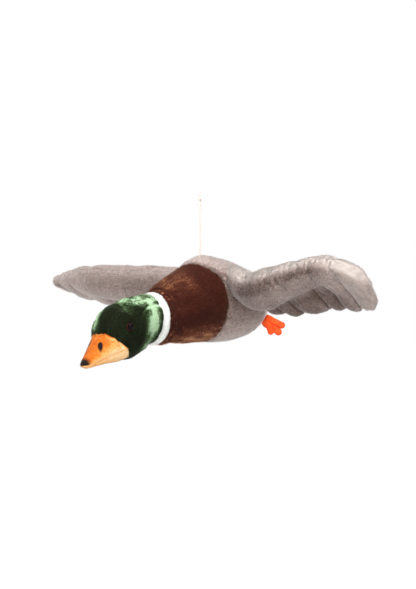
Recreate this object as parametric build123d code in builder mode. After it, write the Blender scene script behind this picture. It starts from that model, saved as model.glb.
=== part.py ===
"""Hanging plush mallard in flight, with posable wings, head and feet.

Millimetres. The origin is the top of the cord's eye, where a ceiling hook carries the toy.
+Z is up, -Y is the way the bill points, and +X is the bird's left.
"""

import math
import os

from build123d import *

# ---- driving dimensions -------------------------------------------------------------------
COVER = 2.5  # a plush cover: knitted backing and the pressed root of its pile
GAP = 0.25  # air between a cover and its stuffing
SEAM_GAP = 0.4  # from a hinge axis to each soft part that turns about it

# Torso: (y, centre z, half width, half height) of each ellipse, from the neck to the rump.
TORSO_SECTIONS = [
    (-86, -176.3, 37, 37),
    (-62, -167.3, 44, 42.7),
    (-30, -159, 53, 51),
    (0, -150.3, 57, 59.3),
    (30, -151.6, 56, 58.6),
    (60, -154, 50, 52),
    (90, -156, 39, 39),
    (114, -154, 25, 23),
]
CHEST_EDGE = [(-27, -88), (-16, -102), (-5, -118), (2, -145), (3.5, -180), (8, -216)]  # rear edge, (y, z)
SADDLE_Z = -126  # lower edge of the back cover
VENT_Y = 97  # front edge of the cream cover under the tail

# Tail: (y, centre z, half width, half height).
TAIL_SECTIONS = [
    (98, -151, 26, 21),
    (122, -148, 28, 14),
    (146, -144, 27, 9),
    (163, -142, 19, 5),
]

# Neck: a ball that nods in the chest. The white band is its front rim.
NECK = Vector(0, -82, -176.5)
NECK_BALL_R = 35.2
NECK_SEAT_R = 36.0
BAND_BACK_Y, BAND_FRONT_Y = -85, -96
NECK_PLUG_R, NECK_PLUG_LENGTH = 14, 14

# Head: (y, z, downward tilt in degrees, half width, half height).
HEAD_SECTIONS = [
    (-96.4, -176.5, 0, 32.2, 32.2),
    (-114, -179.5, 12, 34.5, 33),
    (-132, -186.5, 26, 35.5, 36.5),
    (-150, -197, 40, 33.5, 36),
    (-161, -212.5, 48, 28.5, 25),
]
GUSSET_HALF_W = 12
BILL_SECTIONS = [
    (-161.2, -212.6, 48, 28, 24.5),
    (-176, -219, 42, 22.5, 18),
    (-191, -227.5, 36, 15, 11),
    (-203, -234.5, 32, 8, 5.5),
    (-207.5, -237, 30, 4, 3),
]
EYE_POINT = Vector(32.4, -154, -186)
EYE_AXIS = Vector(0.95, -0.28, 0.12)
EYE_R, EYE_RIM_R = 4.4, 5.4
EYE_STEM_R, EYE_STEM_LENGTH = 1.5, 13
EYE_WASHER_R, EYE_WASHER_T = 7.5, 1.2

# Wings. Stations: (x from the middle, y and z of the padded arm's centre, arm thickness, chord,
# degrees by which the chord hangs below level towards the trailing edge).
SHOULDER_X, WRIST_X = 57, 225
LEFT_STATIONS = [
    (52, 20, -125, 36, 66, 28),
    (84, 16, -136, 44, 86, 28),
    (120, 12, -135.5, 53, 97, 29),
    (170, 8, -122, 43, 96, 34),
    (225, 4, -111, 36, 92, 42),
    (258, 3, -111, 32, 84, 47),
    (283, 6, -119, 26, 64, 52),
    (299, 12, -126, 18, 38, 53),
]
RIGHT_STATIONS = [
    (52, 20, -125, 36, 66, 28),
    (84, 16, -127, 43, 86, 28),
    (120, 12, -127, 48, 97, 28),
    (170, 8, -126, 48, 98, 28),
    (225, 4, -122.5, 45, 96, 30),
    (268, 2, -121, 34, 88, 31),
    (308, 3, -121.3, 23, 66, 32),
    (338, 6, -123, 15, 38, 32),
]
ARM_FRONT = 0.52  # arm's reach ahead of its centre, as a share of its thickness
PANEL_T = 13  # thickness of the quilted feather panel behind the arm
COVER_SEAM = 0.12  # between the upper and lower covers, along both edges of the wing
FLAP_UP, FLAP_DOWN = 40, 25
ROOT_EASE = 6  # degrees cut away at the wing root beyond each limit
WRIST_UP, WRIST_DOWN = 25, 35

# Armature wire.
WIRE_R = 1.25
EYE_GAP = 0.06  # running clearance of a wire pin in a wire eye
BEND_ROOM_R = 9  # room in the stuffing round each wire joint
TIP_LOOP_R = 6
WIRE_BEND_R = 1.7
EYE_HALF_T = 1.45
EYE_JOIN = 3  # from a wire eye's centre to the end of its wire

# Feet: two felt layers, sewn to the rump. Points are in the left foot's own plane, from the middle
# of the seam that it swings about.
FOOT_ROOT = Vector(20, 106, -178.4)
FOOT_WAY = Vector(0.545, 0.585, -0.6).normalized()
FOOT_FACE = Vector(0.731, -0.682, 0).normalized()
FOOT_SEAM = FOOT_FACE.cross(FOOT_WAY).normalized()
FOOT_PALM, FOOT_PALM_R, FOOT_STEM_W = (12, 0.5), 8.5, 11.5
TOES = [(26.5, 8.3), (29, -2.2), (20, -8.7)]
TOE_R = 4.4
FOOT_LAYER = 1.8
FOOT_ROLL_R, FOOT_ROLL_LENGTH = 2.4, 12
FOOT_GROOVE_GAP = 0.4  # between the seam roll and the groove that it turns in

# Cord: one elastic cord folded in two, tied below its eye.
CORD_R = 0.6
CORD_KNOT_Z = -9.5
WASHER_R, WASHER_T, WASHER_Z = 9, 1.6, -97.5


def ellipse_loft(name, sections, shrink=0.0):
    """A loft through ellipses given as (plane, half width, half height), made smaller by shrink."""
    with BuildPart() as form:
        for plane, half_w, half_h in sections:
            with BuildSketch(plane):
                Ellipse(half_w - shrink, half_h - shrink)
        loft()
    form.part.label = name
    return form.part


def upright(y, z):
    """A section plane across the bird's length, with its own +Y up."""
    return Plane(origin=(0, y, z), x_dir=(1, 0, 0), z_dir=(0, -1, 0))


def tilted(y, z, tilt):
    """A section plane that faces forward and down by tilt degrees."""
    t = math.radians(tilt)
    return Plane(origin=(0, y, z), x_dir=(1, 0, 0), z_dir=(0, -math.cos(t), -math.sin(t)))


def mirrored(shape):
    return mirror(shape, about=Plane.YZ)


def minus(shape, *tools):
    """The shape without the tools, as one part."""
    with BuildPart() as cut:
        add(shape)
        for tool in tools:
            add(tool, mode=Mode.SUBTRACT)
    return cut.part


def common(shape, *tools):
    with BuildPart() as kept:
        add(shape)
        for tool in tools:
            add(tool, mode=Mode.INTERSECT)
    return kept.part


def slab(x=(-500, 500), y=(-500, 500), z=(-500, 500)):
    """A box between the given limits, for cutting a cover into its panels."""
    with BuildPart() as box:
        with Locations(((x[0] + x[1]) / 2, (y[0] + y[1]) / 2, (z[0] + z[1]) / 2)):
            Box(x[1] - x[0], y[1] - y[0], z[1] - z[0])
    return box.part


def prism(points, plane, reach):
    """A prism of a polygon, pushed both ways out of its plane."""
    with BuildPart() as made:
        with BuildSketch(plane):
            with BuildLine():
                Polyline(*points, close=True)
            make_face()
        extrude(amount=reach, both=True)
    return made.part


def ball(centre, radius):
    with BuildPart() as made:
        with Locations(centre):
            Sphere(radius)
    return made.part


def rod(start, end, radius):
    """A straight round rod from start to end."""
    start, end = Vector(start), Vector(end)
    with BuildPart() as made:
        with BuildSketch(Plane(origin=start, z_dir=end - start)):
            Circle(radius)
        extrude(amount=(end - start).length)
    return made.part


def bent_wire(points, bend_r, radius=WIRE_R):
    """A round wire along straight runs joined by arcs."""
    with BuildPart() as made:
        with BuildLine() as path:
            FilletPolyline(*points, radius=bend_r)
        with BuildSketch(Plane(origin=path.line @ 0, z_dir=path.line % 0)):
            Circle(radius)
        sweep()
    return made.part


def wire_eye(centre, axis, radius=WIRE_R):
    """The closed eye at a wire's end: a short tube that turns on a wire pin along axis."""
    bore = radius + EYE_GAP
    with BuildPart() as made:
        with BuildSketch(Plane(origin=centre, z_dir=axis)):
            Circle(bore + 2 * radius)
            Circle(bore, mode=Mode.SUBTRACT)
        extrude(amount=EYE_HALF_T, both=True)
    return made.part


parts = {}


def keep(name, shape):
    """Files a finished piece under its node name."""
    shape.label = name
    parts[name] = shape


# ---- torso --------------------------------------------------------------------------------
torso_planes = [(upright(y, z), w, h) for y, z, w, h in TORSO_SECTIONS]
torso_form = ellipse_loft("torso_form", torso_planes)
torso_liner = ellipse_loft("torso_liner", torso_planes, COVER)
torso_core = ellipse_loft("torso_core", torso_planes, COVER + GAP)
neck_seat = ball(NECK, NECK_SEAT_R)
tail_planes = [(upright(y, z), w, h) for y, z, w, h in TAIL_SECTIONS]
tail_form = ellipse_loft("tail_form", tail_planes)
tail_core = ellipse_loft("tail_core", tail_planes, COVER + GAP)

torso_cover = minus(torso_form, torso_liner, neck_seat)
with BuildPart() as chest_zone:
    with BuildSketch(Plane.YZ):
        with BuildLine():
            Spline(*CHEST_EDGE)
            Polyline(CHEST_EDGE[-1], (-200, CHEST_EDGE[-1][1]), (-200, CHEST_EDGE[0][1]), CHEST_EDGE[0])
        make_face()
    extrude(amount=200, both=True)
chest_cover = common(torso_cover, chest_zone.part)
body_cover = minus(torso_cover, chest_zone.part)
back_zone = slab(z=(SADDLE_Z, 0))
vent_zone = slab(y=(VENT_Y, 200), z=(-300, SADDLE_Z))

# The cord leaves the back through a small gap in the middle seam.
cord_slit = slab(x=(-1.2, 1.2), y=(-2.4, 2.4), z=(-100, -80))

keep("chest_cover_left", common(chest_cover, slab(x=(0, 200))))
keep("chest_cover_right", common(chest_cover, slab(x=(-200, 0))))
keep("back_cover", minus(common(body_cover, back_zone), cord_slit))
keep("flank_cover_left", minus(common(body_cover, slab(x=(0, 200))), back_zone, vent_zone))
keep("flank_cover_right", minus(common(body_cover, slab(x=(-200, 0))), back_zone, vent_zone))
keep("vent_cover", minus(common(body_cover, vent_zone), tail_form))

tail_cover = minus(tail_form, tail_core, torso_form)
tail_seam = Plane(origin=(0, 122, -148), x_dir=(1, 0, 0), z_dir=(0, 0.12, 1))
with BuildPart() as tail_cover_upper:
    add(tail_cover)
    split(bisect_by=tail_seam, keep=Keep.TOP)
keep("tail_cover_upper", tail_cover_upper.part)
with BuildPart() as tail_cover_lower:
    add(tail_cover)
    split(bisect_by=tail_seam, keep=Keep.BOTTOM)
keep("tail_cover_lower", tail_cover_lower.part)
keep("tail_stuffing", minus(tail_core, torso_form))

# ---- cord, its knot and its anchor --------------------------------------------------------
CORD_ROUTE = [
    (0, 1.5, WASHER_Z + WASHER_T / 2),
    (0, 0.8, CORD_KNOT_Z),
    (0, 1.7, -4.4),
    (0, 1.4, -CORD_R),
    (0, -1.4, -CORD_R),
    (0, -1.7, -4.4),
    (0, -0.8, CORD_KNOT_Z),
    (0, -1.5, WASHER_Z + WASHER_T / 2),
]


def tangent_radii(route, share=0.45):
    """The largest arc at each corner: share of its shorter run, over the tangent of half the turn."""
    radii = []
    for before, here, after in zip(route, route[1:], route[2:], strict=False):
        run_in = Vector(here) - Vector(before)
        run_out = Vector(after) - Vector(here)
        half_turn = math.radians(run_in.get_angle(run_out) / 2)
        radii.append(share * min(run_in.length, run_out.length) / math.tan(half_turn))
    return radii


cord_radii = tangent_radii(CORD_ROUTE)
print("cord bend radii, mm:", [round(r, 1) for r in cord_radii])
with BuildPart() as hang_cord:
    with BuildLine() as cord_line:
        FilletPolyline(*CORD_ROUTE, radius=cord_radii)
    with BuildSketch(Plane(origin=CORD_ROUTE[0], z_dir=cord_line.line % 0)):
        Circle(CORD_R)
    sweep()
cord_length = cord_line.wires()[0].length
cord_fill = hang_cord.part.volume / (math.pi * CORD_R**2 * cord_length)
print("cord length, mm:", round(cord_length, 1), "volume over section times length:", round(cord_fill, 3))
keep("hang_cord", hang_cord.part)

with BuildPart() as cord_knot:
    with Locations((0, 0, CORD_KNOT_Z)):
        Cylinder(radius=2.1, height=3.2)
    fillet(cord_knot.edges().filter_by(GeomType.CIRCLE), radius=1.0)
    add(hang_cord.part, mode=Mode.SUBTRACT)
keep("cord_knot", cord_knot.part)

with BuildPart() as cord_washer:
    with Locations((0, 0, WASHER_Z)):
        Cylinder(radius=WASHER_R, height=WASHER_T)
    with Locations(Plane.XY.offset(WASHER_Z + WASHER_T / 2)):
        with Locations((0, 1.5), (0, -1.5)):
            Hole(radius=CORD_R + 0.15)
keep("cord_washer", cord_washer.part)
with BuildPart() as cord_stop:
    with Locations((0, 0, WASHER_Z - WASHER_T / 2 - 2.5)):
        Cylinder(radius=3.6, height=5)
    fillet(cord_stop.edges().filter_by(GeomType.CIRCLE), radius=1.4)
keep("cord_stop_knot", cord_stop.part)
washer_room = slab(x=(-12, 12), y=(-12, 12), z=(WASHER_Z - 6.2, -80))

# ---- neck ---------------------------------------------------------------------------------
band_zone = slab(y=(BAND_FRONT_Y, BAND_BACK_Y))
keep("neck_band", common(minus(ball(NECK, NECK_BALL_R), ball(NECK, NECK_BALL_R - COVER)), band_zone))
plug_end_y = BAND_FRONT_Y - NECK_PLUG_LENGTH
neck_plug = rod((0, BAND_FRONT_Y, NECK.Z), (0, plug_end_y, NECK.Z), NECK_PLUG_R)
with BuildPart() as neck_stuffing:
    add(common(ball(NECK, NECK_BALL_R), slab(y=(BAND_BACK_Y, NECK.Y + 24))))
    add(common(ball(NECK, NECK_BALL_R - COVER - GAP), band_zone))
    add(neck_plug)

# ---- head ---------------------------------------------------------------------------------
head_planes = [(tilted(y, z, t), w, h) for y, z, t, w, h in HEAD_SECTIONS]
head_form = ellipse_loft("head_form", head_planes)
head_liner = ellipse_loft("head_liner", head_planes, COVER)
head_core = ellipse_loft("head_core", head_planes, COVER + GAP)
bill_planes = [(tilted(y, z, t), w, h) for y, z, t, w, h in BILL_SECTIONS]
bill_form = minus(ellipse_loft("bill_form", bill_planes), head_form)
bill_core_planes = bill_planes[:4]
bill_core = minus(ellipse_loft("bill_core", bill_core_planes, 2.0), head_form)

eye_plane = Plane(origin=EYE_POINT, z_dir=EYE_AXIS)
with BuildPart() as eye_left:
    with BuildSketch(eye_plane.offset(-EYE_STEM_LENGTH)):
        Circle(EYE_STEM_R)
    extrude(amount=EYE_STEM_LENGTH + 1)
    with BuildSketch(eye_plane):
        Circle(EYE_R)
    extrude(amount=1.6)
    with BuildSketch(Plane(origin=eye_plane.offset(1.6).origin, x_dir=eye_plane.x_dir, z_dir=eye_plane.y_dir)):
        with BuildLine():
            ThreePointArc((EYE_R, 0), (EYE_R * 0.71, -EYE_R * 0.52), (0, -EYE_R * 0.72))
            Line((0, -EYE_R * 0.72), (0, 0))
            Line((0, 0), (EYE_R, 0))
        make_face()
    revolve(axis=Axis(eye_plane.origin, eye_plane.z_dir))
with BuildPart() as eye_rim_left:
    with BuildSketch(eye_plane):
        Circle(EYE_RIM_R)
        Circle(EYE_R, mode=Mode.SUBTRACT)
    extrude(amount=1.5)
with BuildPart() as eye_washer_left:
    with BuildSketch(eye_plane.offset(-6)):
        Circle(EYE_WASHER_R)
        Circle(EYE_STEM_R, mode=Mode.SUBTRACT)
    extrude(amount=EYE_WASHER_T)
eye_solids = [eye_left.part, eye_rim_left.part, eye_washer_left.part]
eye_solids += [mirrored(s) for s in eye_solids]
for side, pick in (("left", 0), ("right", 3)):
    keep(f"eye_{side}", eye_solids[pick])
    keep(f"eye_rim_{side}", eye_solids[pick + 1])
    keep(f"eye_washer_{side}", eye_solids[pick + 2])

plug_seat = rod((0, BAND_FRONT_Y, NECK.Z), (0, plug_end_y - 0.6, NECK.Z), NECK_PLUG_R + 0.08)
head_cover = minus(head_form, head_liner, *eye_solids)
gusset_zone = prism(
    [(-60, -176), (-132, -187), (-161, -212), (-200, -214), (-200, -100), (-60, -100)],
    Plane.YZ,
    GUSSET_HALF_W,
)
keep("head_gusset", common(head_cover, gusset_zone))
keep("head_cover_left", minus(common(head_cover, slab(x=(0, 200))), gusset_zone))
keep("head_cover_right", minus(common(head_cover, slab(x=(-200, 0))), gusset_zone))
bill_cover = minus(bill_form, bill_core)
bill_seam = Plane(origin=(0, -176, -222), x_dir=(1, 0, 0), z_dir=(0, -0.42, 0.91))
for name, side in (("bill_cover_upper", Keep.TOP), ("bill_cover_lower", Keep.BOTTOM)):
    with BuildPart() as bill_panel:
        add(bill_cover)
        split(bisect_by=bill_seam, keep=side)
    keep(name, bill_panel.part)
keep("bill_stuffing", bill_core)

# ---- armature in the neck -----------------------------------------------------------------
# The spine wire ends in an eye on the nod axis, and the neck wire hooks through it.
nod_axis = Vector(1, 0, 0)
spine_wire_end = NECK + Vector(0, EYE_JOIN, 0)
with BuildPart() as spine_wire:
    add(bent_wire([spine_wire_end, (0, -50, -160), (0, 0, -150), (0, 84, -153)], 25))
    add(wire_eye(NECK, nod_axis))
neck_wire_points = [
    NECK + Vector(-4, 0, 0),
    NECK + Vector(4.2, 0, 0),
    NECK + Vector(4.2, -9, 0),
    (0, -94, NECK.Z),
    (0, plug_end_y + 1, NECK.Z),
]
with BuildPart() as neck_wire:
    add(bent_wire(neck_wire_points, 1.6))
neck_wire_room = ball(NECK, BEND_ROOM_R)
keep("spine_wire", spine_wire.part)
keep("neck_wire", neck_wire.part)
neck_room = prism(
    [(NECK.Y, NECK.Z), (NECK.Y + 60, NECK.Z + 100), (NECK.Y + 60, NECK.Z - 10)], Plane.YZ, BEND_ROOM_R
)
keep("neck_stuffing", minus(neck_stuffing.part, neck_wire_room, neck_room, neck_wire.part))
keep("head_stuffing", minus(head_core, plug_seat, *eye_solids))


# ---- wings --------------------------------------------------------------------------------
def chord_way(droop):
    """The unit direction back along a wing's chord, droop degrees below level."""
    return Vector(0, math.cos(math.radians(droop)), -math.sin(math.radians(droop)))


def section_points(thickness, chord, shrink, edge):
    """The upper outline, in chord coordinates, from edge above the leading edge to the trailing edge."""
    half = thickness / 2 - shrink
    front = thickness * ARM_FRONT - shrink
    panel = min(PANEL_T, thickness * 0.6) / 2 - shrink
    back = chord - thickness * ARM_FRONT - shrink
    return [
        (-front, edge),
        (-front * 0.72, half * 0.72),
        (0, half),
        (front * 0.95, half * 0.78),
        (back * 0.55, panel * 1.25),
        (back * 0.86, panel * 0.95),
        (back, edge),
    ]


def outline(points, sign):
    return Spline(*[(x, sign * y) for x, y in points])


def wing_solid(stations, kind):
    """One wing-long solid: its upper cover, its lower cover or its stuffing."""
    sign = -1 if kind == "lower_cover" else 1
    edge = COVER_SEAM / 2
    with BuildPart() as made:
        for x, y, z, thickness, chord, droop in stations:
            outer = section_points(thickness, chord, 0, edge)
            inner = section_points(thickness, chord, COVER, edge)
            core = section_points(thickness, chord, COVER + GAP, 0)
            with BuildSketch(Plane(origin=(x, y, z), x_dir=chord_way(droop), z_dir=(1, 0, 0))):
                with BuildLine():
                    if kind == "stuffing":
                        outline(core, 1)
                        outline(core, -1)
                    else:
                        outline(outer, sign)
                        outline(inner, sign)
                        Line((outer[0][0], sign * edge), (inner[0][0], sign * edge))
                        Line((inner[-1][0], sign * edge), (outer[-1][0], sign * edge))
                make_face()
        loft()
    return made.part


def hinge_wedge(hinge, axis, way, up, down):
    """All that lies past a chordwise hinge (way +1 is outboard), with room to turn up and down."""
    high, far = 60, 400
    across = Plane(origin=hinge, x_dir=(1, 0, 0), z_dir=axis * -1)
    high_edge = SEAM_GAP + high * math.tan(math.radians(up))
    low_edge = SEAM_GAP + high * math.tan(math.radians(down))
    corners = [(-SEAM_GAP, 0), (-high_edge, high), (far, high), (far, -high), (-low_edge, -high)]
    return prism([(way * along, height) for along, height in corners], across, 160)


def pin_route(centre, axis, way):
    """A wire's hooked end: through the eye at centre along axis, then off towards way."""
    centre, axis, way = Vector(centre), Vector(axis).normalized(), Vector(way).normalized()
    return [centre - axis * 3.4, centre + axis * 3.8, centre + axis * 3.8 + way * 8]


def finish_side(name, shape, sign):
    keep(name, shape if sign > 0 else mirrored(shape))


def make_wing(side, sign, stations):
    """Every piece of one wing, in two bodies that meet at the wrist. sign is +1 on the left."""
    wrist_station = next(station for station in stations if station[0] == WRIST_X)
    shoulder, wrist = (SHOULDER_X, *stations[0][1:3]), wrist_station[:3]
    flap_axis, wrist_axis = chord_way(stations[0][-1]), chord_way(wrist_station[-1])
    root_wedge = hinge_wedge(shoulder, flap_axis, -1, FLAP_UP + ROOT_EASE, FLAP_DOWN + ROOT_EASE)
    past_wrist = hinge_wedge(wrist, wrist_axis, 1, WRIST_UP / 2, WRIST_DOWN / 2)
    before_wrist = hinge_wedge(wrist, wrist_axis, -1, WRIST_UP / 2, WRIST_DOWN / 2)

    # The inner wire turns in the shoulder wire's eye and ends in the eye that the outer one turns in.
    inner_bends = [Vector(*s[:3]) for s in stations if SHOULDER_X + 40 < s[0] < WRIST_X]
    inner_end = Vector(*wrist) - Vector(EYE_JOIN, 0, 0)
    with BuildPart() as inner_wire:
        add(bent_wire(pin_route(shoulder, flap_axis, (1, 0, 0)) + inner_bends + [inner_end], WIRE_BEND_R))
        add(wire_eye(wrist, wrist_axis))
    tip_bend = Vector(*stations[-3][:3])
    loop_centre = tip_bend + (Vector(*stations[-1][:3]) - tip_bend) * 0.5
    with BuildPart() as outer_wire:
        add(bent_wire(pin_route(wrist, wrist_axis, (1, 0, 0)) + [tip_bend, loop_centre], WIRE_BEND_R))
        with BuildSketch(Plane(origin=loop_centre + Vector(TIP_LOOP_R - WIRE_R, 0, 0), z_dir=wrist_axis)):
            Circle(TIP_LOOP_R)
            Circle(TIP_LOOP_R - 2 * WIRE_R, mode=Mode.SUBTRACT)
        extrude(amount=EYE_HALF_T, both=True)

    rooms = [ball(shoulder, BEND_ROOM_R), ball(wrist, BEND_ROOM_R)]
    for kind in ("upper_cover", "lower_cover", "stuffing"):
        whole = wing_solid(stations, kind)
        inner = minus(whole, root_wedge, past_wrist)
        outer = minus(whole, before_wrist)
        if kind == "stuffing":
            inner = minus(inner, *rooms, inner_wire.part)
            outer = minus(outer, *rooms, outer_wire.part)
        finish_side(f"{side}_inner_wing_{kind}", inner, sign)
        finish_side(f"{side}_outer_wing_{kind}", outer, sign)
    finish_side(f"{side}_inner_wing_wire", inner_wire.part, sign)
    finish_side(f"{side}_outer_wing_wire", outer_wire.part, sign)
    return shoulder, flap_axis


shoulder, shoulder_axis = make_wing("left", 1, LEFT_STATIONS)
make_wing("right", -1, RIGHT_STATIONS)

CROSS_BEND = Vector(30, 12, -125)


def mirrored_point(point):
    return Vector(-point.X, point.Y, point.Z)


# The shoulder wire crosses the torso and ends in an eye at each shoulder.
left_eye = wire_eye(shoulder, shoulder_axis)
wire_end = Vector(*shoulder) - Vector(EYE_JOIN, 0, 0)
cross_points = [wire_end, CROSS_BEND, mirrored_point(CROSS_BEND), mirrored_point(wire_end)]
with BuildPart() as shoulder_wire:
    add(bent_wire(cross_points, 12))
    add(left_eye)
    add(mirrored(left_eye))
keep("shoulder_wire", shoulder_wire.part)
wire_slits = [rod(CROSS_BEND, shoulder, 2.4)]
wire_slits += [mirrored(wire_slits[0])]
for name in ("back_cover", "flank_cover_left", "flank_cover_right"):
    keep(name, minus(parts[name], *wire_slits))
foot_groove_end = FOOT_SEAM * (FOOT_ROLL_LENGTH / 2 + 1)
foot_grooves = [rod(FOOT_ROOT - foot_groove_end, FOOT_ROOT + foot_groove_end, FOOT_ROLL_R + FOOT_GROOVE_GAP)]
foot_grooves += [mirrored(foot_grooves[0])]
for name in ("flank_cover_left", "flank_cover_right", "vent_cover"):
    keep(name, minus(parts[name], *foot_grooves))
torso_hardware = [neck_seat, washer_room, spine_wire.part, shoulder_wire.part]
keep("torso_stuffing", minus(torso_core, *torso_hardware, *foot_grooves))


# ---- feet ---------------------------------------------------------------------------------
foot_plane = Plane(origin=FOOT_ROOT, x_dir=FOOT_WAY, z_dir=FOOT_FACE)
foot_roll_end = FOOT_SEAM * (FOOT_ROLL_LENGTH / 2)
foot_roll = rod(FOOT_ROOT - foot_roll_end, FOOT_ROOT + foot_roll_end, FOOT_ROLL_R)


def foot_outline():
    """Draws the stem, the palm and three toes in the current sketch."""
    with Locations((FOOT_PALM[0] / 2, 0)):
        Rectangle(FOOT_PALM[0], FOOT_STEM_W)
    with Locations(FOOT_PALM):
        Circle(FOOT_PALM_R)
    for tip in TOES:
        run = Vector(*tip) - Vector(*FOOT_PALM)
        with Locations(((tip[0] + FOOT_PALM[0]) / 2, (tip[1] + FOOT_PALM[1]) / 2)):
            SlotCenterToCenter(run.length, 2 * TOE_R, rotation=math.degrees(math.atan2(run.Y, run.X)))


for layer, amount in (("front", FOOT_LAYER), ("back", -FOOT_LAYER)):
    with BuildPart() as felt:
        with BuildSketch(foot_plane):
            foot_outline()
        extrude(amount=amount)
        add(foot_roll, mode=Mode.SUBTRACT)
    keep(f"left_foot_{layer}_felt", felt.part)
    keep(f"right_foot_{layer}_felt", mirrored(felt.part))
keep("left_foot_seam_roll", foot_roll)
keep("right_foot_seam_roll", mirrored(foot_roll))

os.makedirs("parts", exist_ok=True)
for name, shape in parts.items():
    export_step(shape, f"parts/{name}.step")
print(len(parts), "nodes")
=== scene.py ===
"""The looks of the hanging plush mallard: sewn plush skins, pile, eyes, felt feet and the cord.

Everything is in metres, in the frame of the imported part: the origin is the top of the cord's eye,
+Z is up, -Y is the way the bill points, and +X is the bird's left.
"""

import math

import bmesh
import bpy
import numpy as np
from mathutils import Matrix, Vector, noise


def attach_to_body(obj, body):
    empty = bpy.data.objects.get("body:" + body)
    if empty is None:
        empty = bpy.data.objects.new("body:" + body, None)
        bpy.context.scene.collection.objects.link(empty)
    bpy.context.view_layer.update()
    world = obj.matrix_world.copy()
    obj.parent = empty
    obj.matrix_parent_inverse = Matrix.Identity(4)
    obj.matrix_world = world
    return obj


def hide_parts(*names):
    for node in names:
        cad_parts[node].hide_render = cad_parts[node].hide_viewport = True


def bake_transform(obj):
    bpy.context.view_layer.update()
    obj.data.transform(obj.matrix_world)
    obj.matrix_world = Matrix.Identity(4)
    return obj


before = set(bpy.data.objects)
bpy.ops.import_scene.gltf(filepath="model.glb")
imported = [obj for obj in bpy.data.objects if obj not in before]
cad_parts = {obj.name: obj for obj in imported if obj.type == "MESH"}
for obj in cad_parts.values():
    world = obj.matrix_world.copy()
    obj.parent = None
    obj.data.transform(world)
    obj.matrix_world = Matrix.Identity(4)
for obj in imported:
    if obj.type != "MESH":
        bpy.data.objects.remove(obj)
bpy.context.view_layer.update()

MM = 0.001
TAU = 2 * math.pi


# ---- camera ----
def make_camera():
    """Level with the bird and ahead of it, 47 degrees round to its left."""
    azimuth, distance = math.radians(47), 2.0
    aim = Vector((0.0076, 0.0082, -0.1435))
    data = bpy.data.cameras.new("camera")
    data.lens, data.sensor_width, data.sensor_fit = 87.3, 36, "AUTO"
    camera = bpy.data.objects.new("camera", data)
    camera.location = aim + distance * Vector((math.sin(azimuth), -math.cos(azimuth), 0))
    camera.rotation_euler = (aim - camera.location).to_track_quat("-Z", "Y").to_euler()
    bpy.context.scene.collection.objects.link(camera)
    bpy.context.scene.camera = camera


make_camera()


def link(obj):
    bpy.context.scene.collection.objects.link(obj)
    return obj


# ---- materials ----
def principled(name, colour, roughness=0.6, **sockets):
    """A Principled material. sockets are its other inputs, with underscores for spaces."""
    material = bpy.data.materials.new(name)
    material.use_nodes = True
    shader = material.node_tree.nodes["Principled BSDF"]
    shader.inputs["Base Color"].default_value = (*colour, 1)
    shader.inputs["Roughness"].default_value = roughness
    for key, value in sockets.items():
        shader.inputs[key.replace("_", " ")].default_value = value
    return material


def node(material, kind, **settings):
    made = material.node_tree.nodes.new(kind)
    for key, value in settings.items():
        setattr(made, key, value)
    return made


def wire(material, start, end):
    material.node_tree.links.new(start, end)


def noise_node(material, scale, detail=3.0, rough=0.5, stretch=(1, 1, 1)):
    """A noise texture in the piece's own coordinates, with scale in cells per metre."""
    coords = node(material, "ShaderNodeTexCoord")
    mapping = node(material, "ShaderNodeMapping")
    mapping.inputs["Scale"].default_value = stretch
    texture = node(material, "ShaderNodeTexNoise")
    texture.inputs["Scale"].default_value = scale
    texture.inputs["Detail"].default_value = detail
    texture.inputs["Roughness"].default_value = rough
    wire(material, coords.outputs["Object"], mapping.inputs["Vector"])
    wire(material, mapping.outputs["Vector"], texture.inputs["Vector"])
    return texture.outputs["Fac"]


def ramp(material, value, stops):
    """A colour ramp over value, from (position, colour) stops."""
    made = node(material, "ShaderNodeValToRGB")
    elements = made.color_ramp.elements
    while len(elements) < len(stops):
        elements.new(0.5)
    for element, (position, colour) in zip(elements, stops, strict=True):
        element.position = position
        element.color = (*colour, 1)
    wire(material, value, made.inputs["Fac"])
    return made.outputs["Color"]


def mix(material, factor, a, b):
    """Mixes two colour outputs by a factor output."""
    made = node(material, "ShaderNodeMix", data_type="RGBA")
    wire(material, factor, made.inputs["Factor"])
    wire(material, a, made.inputs[6])
    wire(material, b, made.inputs[7])
    return made.outputs[2]


def bump(material, height, strength, distance):
    made = node(material, "ShaderNodeBump")
    made.inputs["Strength"].default_value = strength
    made.inputs["Distance"].default_value = distance
    wire(material, height, made.inputs["Height"])
    shader = material.node_tree.nodes["Principled BSDF"]
    wire(material, made.outputs["Normal"], shader.inputs["Normal"])


def plush_material(name, palette, sheen, tint, fleck=420.0, roughness=0.85):
    """Plush cloth in four shades, picked by the skin's stored tone (its colour, and on some skins painted
    sheen, light and shade) and by a fine fleck in its nap.
    """
    material = principled(name, palette[1], roughness, Sheen_Weight=sheen, Sheen_Roughness=0.4)
    shader = material.node_tree.nodes["Principled BSDF"]
    shader.inputs["Sheen Tint"].default_value = (*tint, 1)
    shader.inputs["Specular IOR Level"].default_value = 0.4 * sheen
    tone = node(material, "ShaderNodeAttribute", attribute_name="tone")
    speckle = noise_node(material, fleck, 3.0, 0.6)
    spread = node(material, "ShaderNodeMath", operation="MULTIPLY_ADD")
    spread.inputs[1].default_value = 0.9
    spread.inputs[2].default_value = -0.45
    wire(material, speckle, spread.inputs[0])
    total = node(material, "ShaderNodeMath", operation="ADD")
    wire(material, tone.outputs["Fac"], total.inputs[0])
    wire(material, spread.outputs["Value"], total.inputs[1])
    stops = [(0.0, palette[0]), (0.34, palette[1]), (0.67, palette[2]), (1.0, palette[3])]
    wire(material, ramp(material, total.outputs["Value"], stops), shader.inputs["Base Color"])
    bump(material, noise_node(material, 1500.0, 2.0, 0.6), 0.4, 0.0006)
    return material


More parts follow.
